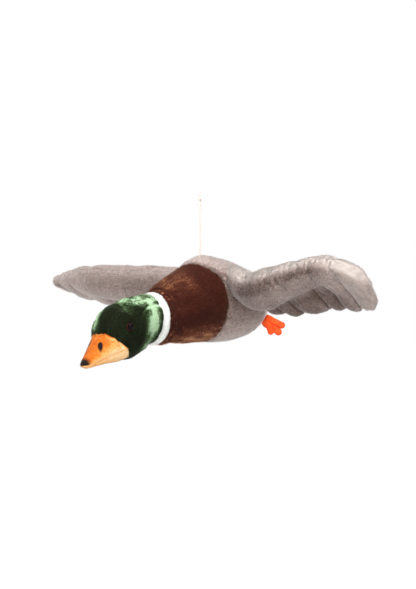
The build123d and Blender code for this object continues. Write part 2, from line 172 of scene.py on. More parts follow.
def fibres(name, palette, sheen, tint):
    """Plain fibre colours for a pile, from dark to pale."""
    made = []
    for index, colour in enumerate(palette):
        fibre = principled(f"{name}_fibre_{index}", colour, 0.8, Sheen_Weight=sheen, Sheen_Roughness=0.4)
        shader = fibre.node_tree.nodes["Principled BSDF"]
        shader.inputs["Sheen Tint"].default_value = (*tint, 1)
        shader.inputs["Specular IOR Level"].default_value = 0.4 * sheen
        made.append(fibre)
    return made


# Each palette runs from the darkest fibres to the palest.
# BROWN's palest shade is the gold of the chest's painted sheen streaks.
BROWN = [(0.026, 0.005, 0.003), (0.050, 0.011, 0.006), (0.12, 0.036, 0.017), (0.42, 0.20, 0.10)]
# TAUPE's palest shades also carry the painted light on the wings' tops and hands.
TAUPE = [(0.115, 0.070, 0.052), (0.30, 0.228, 0.205), (0.45, 0.365, 0.33), (0.62, 0.545, 0.50)]
PALE = [(0.36, 0.30, 0.26), (0.52, 0.46, 0.41), (0.66, 0.60, 0.55), (0.78, 0.73, 0.68)]
CREAM = [(0.50, 0.42, 0.36), (0.66, 0.58, 0.51), (0.78, 0.71, 0.64), (0.86, 0.82, 0.76)]
# GREEN's palest shade is the mint of the head's painted sheen highlights.
GREEN = [(0.006, 0.008, 0.003), (0.018, 0.027, 0.010), (0.085, 0.15, 0.062), (0.48, 0.68, 0.43)]
WHITE = [(0.50, 0.50, 0.46), (0.66, 0.66, 0.62), (0.78, 0.78, 0.74), (0.86, 0.86, 0.83)]
ORANGE = [(0.50, 0.075, 0.006), (0.72, 0.19, 0.018), (0.90, 0.42, 0.12), (0.95, 0.66, 0.36)]
BLACK = (0.014, 0.011, 0.009)
FELT = [(0.60, 0.040, 0.008), (0.76, 0.065, 0.012), (0.84, 0.095, 0.020), (0.90, 0.17, 0.05)]


# ---- small mesh tools ----
def smooth_curve(table, at):
    """Reads each column of a table of (key, value, ...) rows at the given keys, along smooth curves."""
    table = np.asarray(table, float)
    keys, values = table[:, 0], table[:, 1:]
    at = np.atleast_1d(np.asarray(at, float))
    run = np.diff(keys)[:, None]
    slopes = np.diff(values, axis=0) / run
    tangents = np.zeros_like(values)
    tangents[1:-1] = (slopes[:-1] * run[1:] + slopes[1:] * run[:-1]) / (run[:-1] + run[1:])
    tangents[0], tangents[-1] = slopes[0], slopes[-1]
    spot = np.clip(np.searchsorted(keys, at, side="right") - 1, 0, len(run) - 1)
    t = np.clip((at - keys[spot]) / run[spot, 0], 0, 1)[:, None]
    h = run[spot]
    return (
        (2 * t**3 - 3 * t**2 + 1) * values[spot]
        + (t**3 - 2 * t**2 + t) * h * tangents[spot]
        + (-2 * t**3 + 3 * t**2) * values[spot + 1]
        + (t**3 - t**2) * h * tangents[spot + 1]
    )


def hump(x, centre, width):
    """A smooth bump of height 1 at centre, gone beyond width each side."""
    t = np.clip(1 - np.abs((x - centre) / width), 0, 1)
    return t * t * (3 - 2 * t)


def step(x, low, high):
    t = np.clip((x - low) / (high - low), 0, 1)
    return t * t * (3 - 2 * t)


def fractal(points, cell, octaves=3, seed=0.0):
    """Fractal noise of about -1 to 1 at each point, with cell the size of its largest lumps."""
    total, size, weight = np.zeros(len(points)), cell, 1.0
    shift = Vector((seed * 7.3, seed * 3.1, seed * 5.7))
    for _ in range(octaves):
        total += weight * np.array([noise.noise(Vector(p) / size + shift) for p in points])
        size, weight = size / 2, weight / 2
    return total


def ring_normals(rings):
    """Outward normals of a grid of rings, from its own differences."""
    along = np.gradient(rings, axis=0)
    around = np.roll(rings, -1, axis=1) - np.roll(rings, 1, axis=1)
    normals = np.cross(around, along)
    normals /= np.linalg.norm(normals, axis=2, keepdims=True) + 1e-12
    centres = rings.mean(axis=1, keepdims=True)
    outward = np.sign(((rings - centres) * normals).sum(axis=(1, 2)))
    return normals * np.where(outward == 0, 1, outward)[:, None, None]


def ring_mesh(name, rings, materials):
    """A closed skin through rings of points (rows, columns, 3), with both ends capped."""
    rows, columns = rings.shape[:2]
    points = np.vstack([rings.reshape(-1, 3), rings[0].mean(0)[None], rings[-1].mean(0)[None]])
    index = np.arange(rows * columns).reshape(rows, columns)
    here, there = index, np.roll(index, -1, axis=1)
    quads = np.stack([here[:-1], there[:-1], there[1:], here[1:]], axis=-1).reshape(-1, 4)
    first = np.stack([there[0], here[0], np.full(columns, rows * columns)], axis=-1)
    last = np.stack([here[-1], there[-1], np.full(columns, rows * columns + 1)], axis=-1)
    mesh = bpy.data.meshes.new(name)
    mesh.from_pydata(points.tolist(), [], quads.tolist() + first.tolist() + last.tolist())
    for material in materials:
        mesh.materials.append(material)
    mesh.polygons.foreach_set("use_smooth", [True] * len(mesh.polygons))
    work = bmesh.new()
    work.from_mesh(mesh)
    bmesh.ops.recalc_face_normals(work, faces=work.faces)
    work.to_mesh(mesh)
    work.free()
    mesh.update()
    return link(bpy.data.objects.new(name, mesh))


def store(obj, name, values):
    """Stores a value from 0 to 1 at each point of a skin, for its material and its pile."""
    layer = obj.data.attributes.new(name, "FLOAT", "POINT")
    layer.data.foreach_set("value", np.clip(values, 0, 1))


def mesh_arrays(mesh):
    """A mesh's points and smooth normals."""
    co, normal = np.empty(len(mesh.vertices) * 3), np.empty(len(mesh.vertices) * 3)
    mesh.vertices.foreach_get("co", co)
    mesh.vertices.foreach_get("normal", normal)
    return co.reshape(-1, 3), normal.reshape(-1, 3)


def set_tone(obj, tone):
    """Stores how pale each point of a skin is. tone takes points in mm and normals."""
    co, normal = mesh_arrays(obj.data)
    store(obj, "tone", tone(co / MM, normal))


FLECK = 0.16  # how far a fibre's own tone strays from its skin's


def skin_samples(obj, count, rng):
    """Random points on a skin: (points, normals, tones, blacks)."""
    mesh = obj.data
    mesh.calc_loop_triangles()
    co, normal = mesh_arrays(mesh)
    triangles = np.empty(len(mesh.loop_triangles) * 3, np.int32)
    mesh.loop_triangles.foreach_get("vertices", triangles)
    triangles = triangles.reshape(-1, 3)
    corners = co[triangles]
    areas = np.linalg.norm(np.cross(corners[:, 1] - corners[:, 0], corners[:, 2] - corners[:, 0]), axis=1)
    pick = rng.choice(len(triangles), size=count, p=areas / areas.sum())
    a, b = rng.random(count), rng.random(count)
    flip = a + b > 1
    a[flip], b[flip] = 1 - a[flip], 1 - b[flip]
    weights = np.stack([1 - a - b, a, b], axis=1)
    points = (corners[pick] * weights[:, :, None]).sum(1)
    normals = (normal[triangles[pick]] * weights[:, :, None]).sum(1)
    normals /= np.linalg.norm(normals, axis=1, keepdims=True) + 1e-12
    stored = []
    for name in ("tone", "black"):
        values = np.zeros(len(co))
        if name in mesh.attributes:
            mesh.attributes[name].data.foreach_get("value", values)
        stored.append((values[triangles[pick]] * weights).sum(1))
    return points, normals, stored[0], stored[1]


def pile(name, skin, count, length, width, flow, lean, materials, seed):
    """Plush pile as thousands of small closed cones that lean along flow over a skin.

    length and width are in mm. The skin's tone picks each cone's material, with a random fleck.
    """
    rng = np.random.default_rng(seed)
    points, normals, tone, black = skin_samples(skin, count, rng)
    flows = np.asarray(flow, float) * np.ones_like(points)
    flows = flows - (flows * normals).sum(1, keepdims=True) * normals
    flows /= np.linalg.norm(flows, axis=1, keepdims=True) + 1e-9
    ways = normals + lean * flows + rng.normal(0, 0.25, points.shape)
    ways /= np.linalg.norm(ways, axis=1, keepdims=True)
    side = np.cross(ways, normals + rng.normal(0, 0.2, points.shape))
    side /= np.linalg.norm(side, axis=1, keepdims=True) + 1e-9
    other = np.cross(ways, side)
    reach = MM * length * (0.7 + 0.6 * rng.random(count))[:, None]
    half = MM * width / 2 * (0.7 + 0.6 * rng.random(count))[:, None]
    root = points - normals * MM * width * 0.6
    corners = np.empty((count, 4, 3))
    for turn in range(3):
        angle = TAU * turn / 3
        corners[:, turn] = root + half * (math.cos(angle) * side + math.sin(angle) * other)
    corners[:, 3] = root + ways * reach
    base = np.arange(count)[:, None] * 4
    faces = np.concatenate([base + f for f in ((0, 1, 3), (1, 2, 3), (2, 0, 3), (2, 1, 0))], axis=1)
    faces = faces.reshape(-1, 3)
    mesh = bpy.data.meshes.new(name)
    mesh.vertices.add(count * 4)
    mesh.vertices.foreach_set("co", corners.reshape(-1))
    mesh.loops.add(len(faces) * 3)
    mesh.loops.foreach_set("vertex_index", faces.reshape(-1).astype(np.int32))
    mesh.polygons.add(len(faces))
    mesh.polygons.foreach_set("loop_start", np.arange(0, len(faces) * 3, 3, dtype=np.int32))
    shade = np.clip(np.floor((tone + rng.normal(0, FLECK, count)) * 4), 0, 3).astype(np.int32)
    shade[black > 0.25 + 0.5 * rng.random(count)] = len(materials) - 1
    mesh.polygons.foreach_set("material_index", np.repeat(shade, 4))
    mesh.polygons.foreach_set("use_smooth", [True] * len(faces))
    for material in materials:
        mesh.materials.append(material)
    mesh.update(calc_edges=True)
    soft = normals + 0.25 * ways + rng.normal(0, 0.13, normals.shape)
    soft /= np.linalg.norm(soft, axis=1, keepdims=True)
    mesh.normals_split_custom_set_from_vertices(np.repeat(soft, 4, axis=0))
    return link(bpy.data.objects.new(name, mesh))


def patches(points, cell, seed, stretch=(1, 1, 1)):
    """Fractal noise of about -1 to 1 over points in mm, drawn out along an axis by stretch."""
    return fractal(points / np.array(stretch), cell, 2, seed)


# ---- torso ----
TORSO = [  # (y, centre z, half width, half height), mm
    (-90, -176.5, 34.0, 34.0),
    (-84, -175.4, 36.2, 36.0),
    (-62, -167.3, 43.5, 41.8),
    (-30, -159, 52, 50),
    (0, -150.3, 56, 58),
    (30, -151.6, 55, 57.3),
    (60, -154, 49.5, 51.3),
    (90, -156, 39, 39),
    (108, -154.5, 29, 27),
    (118, -152, 20, 17),
]
CHEST_EDGE = [(-88, -27), (-102, -16), (-118, -5), (-145, 2), (-180, 3.5), (-216, 8)]  # (z, y), mm


def chest_edge(z):
    """The y of the seam between chest and body at height z, in mm."""
    table = sorted(CHEST_EDGE)
    return smooth_curve(table, np.clip(z, table[0][0], table[-1][0]))[:, 0]


def torso_rings(first, last, rows, columns):
    """Rings of the torso between two seams, each a function from height to y, all in mm."""
    angle = np.linspace(0, TAU, columns, endpoint=False)
    share = np.linspace(0, 1, rows)[:, None]
    z = np.full((rows, columns), -150.0)
    for _ in range(6):
        y = first(z.ravel()).reshape(z.shape) * (1 - share) + last(z.ravel()).reshape(z.shape) * share
        values = smooth_curve(TORSO, y.ravel()).reshape(rows, columns, 3)
        z = values[..., 0] + values[..., 2] * np.sin(angle)
    x = values[..., 1] * np.cos(angle)
    return np.stack([x, y, z], axis=-1)


# The y of the torso's level seams, mm. Neighbouring skins overlap a little.
CHEST_START, BODY_END, VENT_START, VENT_END = -87, 99, 98, 117.5


def level(value):
    return lambda z: np.full(len(z), float(value))


def tuck(rings, depth, width):
    """Pulls both end rims in, as a sewn seam does, over width rows of the grid."""
    rows = len(rings)
    rank = np.minimum(np.arange(rows), np.arange(rows)[::-1]).astype(float)
    pull = depth * np.clip(1 - rank / width, 0, 1) ** 2
    return rings - ring_normals(rings) * pull[:, None, None]


def rumple(rings, cell, height, seed, octaves=2):
    """Moves a skin in and out by fractal noise."""
    moved = fractal(rings.reshape(-1, 3), cell, octaves, seed).reshape(rings.shape[:2])
    return rings + ring_normals(rings) * (moved * height)[..., None]


NOT_HERE = 99  # mm, a distance at which a groove does nothing


def groove(rings, distance, depth, width):
    """A sewn channel along the line where distance, in mm from it, is zero."""
    return rings - ring_normals(rings) * (depth * np.exp(-((distance / width) ** 2)))[..., None]


def puff(rings, held, pressure, cap, steps=(4, 4), slack=0.03):
    """Blows a coarse copy of a skin up as slack cloth, held at its seams, and moves the skin the same way.

    rings are in mm. held is how firmly each point is pinned, 0 to 1. No point moves by more than cap.
    """
    rows, columns = rings.shape[:2]
    at_rows = np.unique(np.append(np.arange(0, rows, steps[0]), rows - 1))
    at_columns = np.arange(0, columns, steps[1])
    coarse = rings[np.ix_(at_rows, at_columns)]
    scale = 0.01  # the cloth is worked out ten times life size, where the solver is steadier
    sheet = ring_mesh("puff", coarse * scale, [])
    firm = np.concatenate([held[np.ix_(at_rows, at_columns)].ravel(), [1, 1]])
    group = sheet.vertex_groups.new(name="held")
    for index, weight in enumerate(firm):
        group.add([index], float(np.clip(weight, 0, 1)), "REPLACE")
    cloth_modifier = sheet.modifiers.new("cloth", "CLOTH")
    settings = cloth_modifier.settings
    settings.quality = 6
    settings.mass = 0.3
    settings.tension_stiffness = settings.compression_stiffness = 15
    settings.shear_stiffness = 8
    settings.bending_stiffness = 0.4
    settings.use_pressure = True
    settings.uniform_pressure_force = pressure
    settings.vertex_group_mass = "held"
    settings.shrink_min = -slack
    settings.effector_weights.gravity = 0
    cloth_modifier.collision_settings.use_collision = False
    scene = bpy.context.scene
    for frame_number in range(1, 21):
        scene.frame_set(frame_number)
    graph = bpy.context.evaluated_depsgraph_get()
    blown = mesh_arrays(sheet.evaluated_get(graph).data)[0][:-2]
    moved = blown.reshape(coarse.shape) / scale - coarse
    bpy.data.objects.remove(sheet)
    scene.frame_set(1)
    size = np.linalg.norm(moved, axis=2, keepdims=True)
    moved *= cap * np.tanh(size / cap) / (size + 1e-9)
    moved = smooth_curve(np.column_stack([at_rows, moved.reshape(len(at_rows), -1)]), np.arange(rows))
    moved = moved.reshape(rows, len(at_columns), 3)
    around = np.concatenate([moved[:, -2:], moved, moved[:, :3]], axis=1).transpose(1, 0, 2)
    keys = np.concatenate([at_columns[-2:] - columns, at_columns, at_columns[:3] + columns])
    moved = smooth_curve(np.column_stack([keys, around.reshape(len(keys), -1)]), np.arange(columns))
    return rings + moved.reshape(columns, rows, 3).transpose(1, 0, 2)


def rims(rings, width):
    """1 on both end rims of a skin, falling to 0 over width rows."""
    rank = np.minimum(np.arange(len(rings)), np.arange(len(rings))[::-1])
    return np.clip(1 - rank / width, 0, 1)[:, None] * np.ones(rings.shape[1])


def gathers(rings, distance, phase, height, pitch, reach):
    """Small puckers that run away from a seam. phase is the arc length along it."""
    ripple = np.cos(TAU * phase / pitch) * np.exp(-np.abs(distance) / reach)
    return rings + ring_normals(rings) * (height * ripple)[..., None]


def arc_length(rings):
    """Arc length round each ring, in mm."""
    gaps = np.linalg.norm(np.roll(rings, -1, axis=1) - rings, axis=2)
    return np.cumsum(gaps, axis=1)


def make_chest():
    rings = torso_rings(level(CHEST_START), chest_edge, 130, 260)
    rings = rumple(rings, 38, 1.3, 1)
    rings = puff(rings, rims(rings, 16), 1.2, 1.4)
    rings = groove(rings, rings[..., 0] + 400 * (rings[..., 2] > -150), 1.2, 1.6)
    edge = chest_edge(rings[..., 2].ravel()).reshape(rings.shape[:2]) - rings[..., 1]
    rings = gathers(rings, edge, arc_length(rings), 0.35, 11, 9)
    rings = tuck(rings, 2.6, 7)
    return ring_mesh("chest_plush", rings * MM, [cloth["brown"]])


def make_body():
    rings = torso_rings(chest_edge, level(BODY_END), 130, 260)
    rings = rumple(rings, 42, 1.2, 2)
    rings = puff(rings, rims(rings, 10), 1.2, 2.0)
    rings = groove(rings, rings[..., 0] + 400 * (rings[..., 2] < -150), 1.0, 1.5)
    rings = groove(rings, rings[..., 0] + 400 * (rings[..., 2] > -150), 1.2, 1.6)
    saddle = rings[..., 2] + 126 - 0.10 * rings[..., 1]
    rings = groove(rings, saddle, 1.0, 1.6)
    # The cord's pull raises a small peak in the back.
    pull = np.hypot(rings[..., 0], rings[..., 1])
    rings[..., 2] += np.where(rings[..., 2] > -130, 1.8 * np.exp(-((pull / 9) ** 2)), 0)
    rings = tuck(rings, 2.6, 7)
    return ring_mesh("body_plush", rings * MM, [cloth["taupe"]])


def make_vent():
    rings = torso_rings(level(VENT_START), level(VENT_END), 34, 200)
    rings = rumple(rings, 20, 0.6, 3)
    rings = tuck(rings, 1.8, 5)
    return ring_mesh("vent_plush", rings * MM, [cloth["cream"]])


TAIL = [  # (y, centre z, half width, half height), mm
    (98, -151, 24, 18),
    (122, -148, 28, 13.5),
    (146, -144, 27, 8.5),
    (158, -142.4, 22, 5.5),
    (165, -141.6, 14, 2.6),
]


def make_tail():
    """A flat wedge of feathers: three lobes along its rear edge and sewn lines between them."""
    angle = np.linspace(0, TAU, 200, endpoint=False)
    y = 165 - 67 * (1 - np.linspace(0, 1, 90))
    values = smooth_curve(TAIL, y)
    x = values[:, 1:2] * np.sign(np.cos(angle)) * np.abs(np.cos(angle)) ** 0.8
    z = values[:, 0:1] + values[:, 2:3] * np.sin(angle)
    fan = 1 + 0.16 * step(y, 120, 165)[:, None] * np.cos(3 * math.pi * x / 28)
    rings = np.stack([x, np.broadcast_to(y[:, None], x.shape), z], axis=-1)
    rings[..., 1] += (fan - 1) * 22
    for line in (-9.5, 9.5):
        rings = groove(rings, rings[..., 0] - line + 200 * (rings[..., 1] < 122), 1.4, 1.8)
    rings = rumple(rings, 22, 0.6, 4)
    return ring_mesh("tail_plush", rings * MM, [cloth["pale"]])


# ---- neck band, head and bill ----
NECK = np.array([0.0, -82.0, -176.5])
BAND_FRONT, BAND_BACK, BAND_RADIUS = -97.2, -84.5, 35.6


def make_band():
    """The white band: a stuffed tube between two seams, with fine gathers."""
    rows, columns = 44, 260
    angle = np.linspace(0, TAU, columns, endpoint=False)
    share = np.linspace(0, 1, rows)
    y = BAND_BACK + (BAND_FRONT - BAND_BACK) * share
    crown = np.sqrt(np.clip(1 - (2 * share - 1) ** 2, 0, 1))
    radius = BAND_RADIUS - 3.4 * step(share, 0.45, 1) - 3.0 * (1 - crown)
    x = radius[:, None] * np.cos(angle)
    z = NECK[2] + radius[:, None] * np.sin(angle)
    rings = np.stack([x, np.broadcast_to(y[:, None], x.shape), z], axis=-1)
    rings = gathers(rings, np.zeros(x.shape), arc_length(rings), 0.22, 7.5, 9)
    rings = rumple(rings, 14, 0.5, 5)
    return ring_mesh("neck_band_plush", rings * MM, [cloth["white"]])


HEAD = [  # (station, y, z, downward tilt in degrees, half width, half height), mm
    (0, -95.6, -176.5, 0, 31.6, 31.6),
    (0.6, -102, -177.1, 4, 33.4, 32.4),
    (1, -114, -179.8, 12, 34.4, 32.6),
    (2, -132, -186.7, 26, 35.2, 36.0),
    (3, -150, -197.2, 40, 33.6, 35.8),
    (3.6, -158.5, -207.5, 46, 30, 30),
    (4, -163.2, -214.5, 49, 23, 21),
    (4.3, -165.5, -217, 49, 10, 9),
]


def tilted_rings(table, stations, columns):
    """Rings in tilted planes along the head or the bill."""
    values = smooth_curve(table, stations)
    angle = np.linspace(0, TAU, columns, endpoint=False)
    y, z, tilt, half_w, half_h = (values[:, i : i + 1] for i in range(5))
    tilt = np.radians(tilt)
    x = half_w * np.cos(angle)
    up = half_h * np.sin(angle)
    return np.stack([x, y - up * np.sin(tilt), z + up * np.cos(tilt)], axis=-1), up


def make_head():
    stations = np.concatenate([np.linspace(0, 1, 40, endpoint=False), np.linspace(1, 4.3, 130)])
    rings, up = tilted_rings(HEAD, stations, 260)
    cheek = np.abs(rings[..., 0])
    top = up > 0
    # The gusset's two seams run from the band to the bill, closing in towards the front.
    half_gusset = 15.5 - 1.5 * step(stations, 1, 3.6)[:, None]
    rings = groove(rings, np.where(top, cheek - half_gusset, NOT_HERE), 0.45, 1.2)
    rings = groove(rings, np.where(top, NOT_HERE, rings[..., 0]), 0.9, 1.5)
    # A fold runs from the band towards each eye.
    fold = up - 21 + 5.0 * (stations[:, None] - 0.8) ** 2
    side = np.abs(np.cos(np.linspace(0, TAU, 260, endpoint=False)))
    fold = np.where(stations[:, None] < 1.9, fold, NOT_HERE) + 30 * (side < 0.3)
    rings = groove(rings, fold, 2.2, 1.9)
    # The eyes sit in shallow sockets under a soft brow.
    for eye_x in (32.4, -32.4):
        gap = np.linalg.norm(rings - np.array([eye_x, -154, -186]), axis=2)
        rings = rings - ring_normals(rings) * (1.5 * np.exp(-((gap / 9) ** 2)))[..., None]
    rings = rumple(rings, 24, 1.4, 6)
    held = np.maximum(rims(rings, 10), np.exp(-((cheek - half_gusset) / 2) ** 2) * top)
    rings = puff(rings, held, 1.2, 1.2)
    return ring_mesh("head_plush", rings * MM, [cloth["green"]])


BILL = [  # (station, y, z, tilt, half width, half height), mm
    (0, -153, -206.5, 50, 25, 23),
    (0.6, -160, -211.5, 49, 29, 26),
    (1, -165, -214.3, 47, 28, 24),
    (2, -177, -220, 42, 22.4, 17.8),
    (3, -191, -227.5, 36, 15, 11),
    (4, -202, -234, 32, 9, 6.2),
    (4.6, -206.5, -236.6, 31, 5.6, 3.9),
    (4.9, -208.2, -237.5, 30, 2.8, 2.0),
]


def make_bill():
    stations = np.linspace(0, 4.9, 150)
    rings, up = tilted_rings(BILL, stations, 220)
    side = np.abs(rings[..., 0])
    # The seam between the upper and lower bill, the seam down the ridge, and the gathered root.
    rings = groove(rings, up + 3.0 + 20 * (stations[:, None] < 0.9), 0.9, 1.3)
    root = stations[:, None] - 0.75 - 0.12 * np.cos(rings[..., 0] / 24 * 9)
    rings = rings + ring_normals(rings) * (1.3 * np.exp(-((root / 0.16) ** 2)) * (up > -6))[..., None]
    ridge = np.where(up > 0, side, NOT_HERE) + 40 * (stations[:, None] > 1.9)
    rings = groove(rings, ridge, 0.8, 1.5)
    rings = rumple(rings, 15, 0.7, 7)
    bill = ring_mesh("bill_plush", rings * MM, [cloth["orange"]])
    store(bill, "black", bill_black(*mesh_arrays(bill.data)))
    return bill


# ---- wings ----
# Stations: (x, y and z of the padded arm's centre, arm thickness, chord, droop in degrees), mm.
LEFT_WING = [
    (38, 22, -121, 30, 58, 26),
    (57, 20, -126, 36, 68, 28),
    (84, 16, -136, 43, 86, 28),
    (120, 12, -135.5, 51.5, 97, 29),
    (170, 8, -122.5, 41, 97, 34),
    (225, 4, -112.5, 34.5, 92, 42),
    (258, 3, -115, 31, 84, 47),
    (281, 6, -123, 27, 66, 52),
    (292, 9, -129, 22, 50, 53),
    (297.5, 12, -132, 14, 30, 53),
    (300, 14, -133, 4, 8, 53),
]
RIGHT_WING = [
    (38, 22, -121, 30, 58, 26),
    (57, 20, -125.5, 36, 68, 28),
    (84, 16, -127, 42, 86, 28),
    (120, 12, -127, 47, 97, 28),
    (170, 8, -126, 47, 98, 28),
    (225, 4, -122.5, 44, 96, 30),
    (268, 2, -121, 34, 88, 31),
    (308, 3, -121.3, 23, 66, 32),
    (328, 4.5, -122.5, 18, 48, 32),
    (338, 7, -123.5, 12, 28, 32),
    (341, 9, -124.5, 4, 10, 32),
]
LEFT_CREASES = [60, 103, 136, 192, 223, 259]
RIGHT_CREASES = [60, 110, 155, 200, 247, 292, 327]
WING_START, WING_SPLIT = 38, 150  # the inner skin runs between these, and the outer one beyond
WING_ROWS, WING_COLUMNS = 313, 240
WRINKLES = 8  # the seed of the wings' wrinkles


def scallop(x, creases):
    """0 at each crease between two feather lobes and 1 between them."""
    edges = np.concatenate([[20.0], creases, [360.0]])
    spot = np.clip(np.searchsorted(edges, x, side="right") - 1, 0, len(edges) - 2)
    t = (x - edges[spot]) / (edges[spot + 1] - edges[spot])
    return np.clip(np.sin(math.pi * t), 0, 1) ** 0.55


def wing_outline(thickness, chord, lobe, hand):
    """One ring across a wing: a round arm in front and a thin quilted panel behind it.

    hand, from 0 to 1, fills the hollow under the arm, so that the feathers there are whole rolls.
    """
    half, front = thickness / 2, thickness * 0.52
    panel = min(13, thickness * 0.62) / 2 * (0.55 + 0.45 * lobe)
    back = (chord - front) * (0.90 + 0.10 * lobe)
    step_back = half * 1.05
    points = [
        (back, 0),
        (back * 0.93, panel * 0.85),
        (back * 0.72, panel * 1.15),
        (back * 0.45, max(panel * 1.3, half * 0.42)),
        (front * 0.80, half * 0.80),
        (0, half),
        (-front * 0.70, half * 0.74),
        (-front, 0),
        (-front * 0.70, -half * 0.74),
        (-half * 0.10, -half * 0.99),
        (half * 0.46, -half * 0.94),
        (half * 0.70, -half * 0.82),
        (half * 0.72, -half * 0.62),
        (step_back * 0.92, -half * 0.26 - panel * 0.2),
        (max(step_back * 1.12, back * 0.42), -panel * 0.75),
        (back * 0.74, -panel * 1.15),
        (back * 0.93, -panel * 0.85),
        (back, 0),
    ]
    rolls = [
        (0, -half),
        (front * 0.45, -half * 0.94),
        (front * 0.80, -half * 0.84),
        (back * 0.40, -half * 0.70),
        (back * 0.52, -half * 0.58),
        (back * 0.66, -half * 0.50),
        (back * 0.82, -half * 0.38),
        (back * 0.95, -half * 0.22),
    ]
    points = np.array(points)
    points[9:17] += hand * (np.array(rolls) - points[9:17])
    gaps = np.linalg.norm(np.diff(points, axis=0), axis=1)
    keys = np.concatenate([[0], np.cumsum(np.sqrt(gaps))])
    keys /= keys[-1]
    table = np.column_stack([keys, points])
    return smooth_curve(table, np.linspace(0, 1, WING_COLUMNS, endpoint=False))


def wing_rings(stations, creases):
    """Rings of a wing as if it were the left one, with its feather lobes, in mm.

    The second result gives each point as (back, up) from the arm's centre, along and across the chord.
    """
    spans = np.linspace(WING_START, stations[-1][0], WING_ROWS)
    values = smooth_curve(stations, spans)
    lobes = scallop(spans, np.array(creases, float))
    rings = np.empty((WING_ROWS, WING_COLUMNS, 3))
    chords = np.empty((WING_ROWS, WING_COLUMNS, 2))
    for row, (x, (y, z, thickness, chord, droop), lobe) in enumerate(
        zip(spans, values, lobes, strict=True)
    ):
        fade = 1 - 0.75 * step(x, 290, 340) if stations is RIGHT_WING else 1.0
        section = wing_outline(thickness, chord, 1 - (1 - lobe) * fade, step(x, 215, 245))
        angle = math.radians(droop)
        back, up = section[:, 0], section[:, 1]
        rings[row, :, 0] = x
        rings[row, :, 1] = y + back * math.cos(angle) + up * math.sin(angle)
        rings[row, :, 2] = z - back * math.sin(angle) + up * math.cos(angle)
        chords[row] = section
    return rings, chords


def dress_wing(rings, chords, stations, creases):
    """Plump feather lobes, seams and soft wrinkles on a wing."""
    x, (back, up) = rings[..., 0], np.moveaxis(chords, 2, 0)
    arm = smooth_curve([row[:1] + row[3:4] for row in stations], x[:, 0])
    # The lobes: shallow on the inner feathers, and full fingers from the arm's top past the wrist.
    hand = step(x, 190, 225)
    reach = (1 - hand) * step(back, 16, 40) + hand * step(back, -0.75 * arm, 0.12 * arm)
    bend = x - 0.10 * (back - 40)
    lobe = scallop(bend.ravel(), np.array(creases, float)).reshape(x.shape)
    rings = rings - ring_normals(rings) * ((3.0 + 3.4 * hand) * (1 - lobe) * reach)[..., None]
    held = np.maximum(rims(rings, 3), (1 - lobe) ** 2 * reach)
    held = np.maximum(held, step(np.abs(back), 0.48 * arm, 0.56 * arm) * (back < 0))
    rings = puff(rings, held, 1.0, 1.8)
    if stations is RIGHT_WING:
        rings = groove(rings, np.where(back < 0, up - 0.16 * arm, NOT_HERE), 1.2, 1.2)
    else:
        ridge = np.where((back > 0) & (up < 0), back - 0.33 * arm, NOT_HERE)
        rings = groove(rings, ridge, 0.8, 1.2)
        # Two folds cross the top of the wing where it leaves the body.
        for start, slope in ((66, 0.35), (80, -0.25)):
            fold = np.where(up > 4, x - start - slope * back, NOT_HERE)
            rings = groove(rings, fold, 0.7, 1.3)
    rings = rumple(rings, 34, 1.8, WRINKLES)
    return rumple(rings, 11, 0.35, WRINKLES + 0.5, 1)


def make_wing(side, sign, stations, creases, fleck_and_light_weight):
    """The inner and outer skins of one wing."""
    made = []
    rings, chords = wing_rings(stations, creases)
    tone = wing_tone_light_and_shade(rings, chords, creases, fleck_and_light_weight).reshape(rings.shape[:2])
    cut = int(np.searchsorted(rings[:, 0, 0], WING_SPLIT))
    rings = dress_wing(rings, chords, stations, creases)
    rings[..., 0] *= sign
    for zone, part in (("wing", slice(0, cut + 1)), ("wingtip", slice(cut, None))):
        skin = ring_mesh(f"{side}_{zone}_plush", rings[part] * MM, [cloth["taupe"]])
        store(skin, "tone", np.concatenate([tone[part].ravel(), [0.4, 0.4]]))
        made.append(skin)
    return made


# ---- feet ----
FOOT_ROOT = Vector((0.020, 0.106, -0.1784))
FOOT_WAY, FOOT_FACE = Vector((0.545, 0.585, -0.6)).normalized(), Vector((0.731, -0.682, 0)).normalized()
TOES = [(26.5, 8.3), (28.5, -2.4), (19.5, -8.7)]
PALM = (11, 0.5)
FELT_HALF = 4.0  # half the foot's thickness at its toes, mm


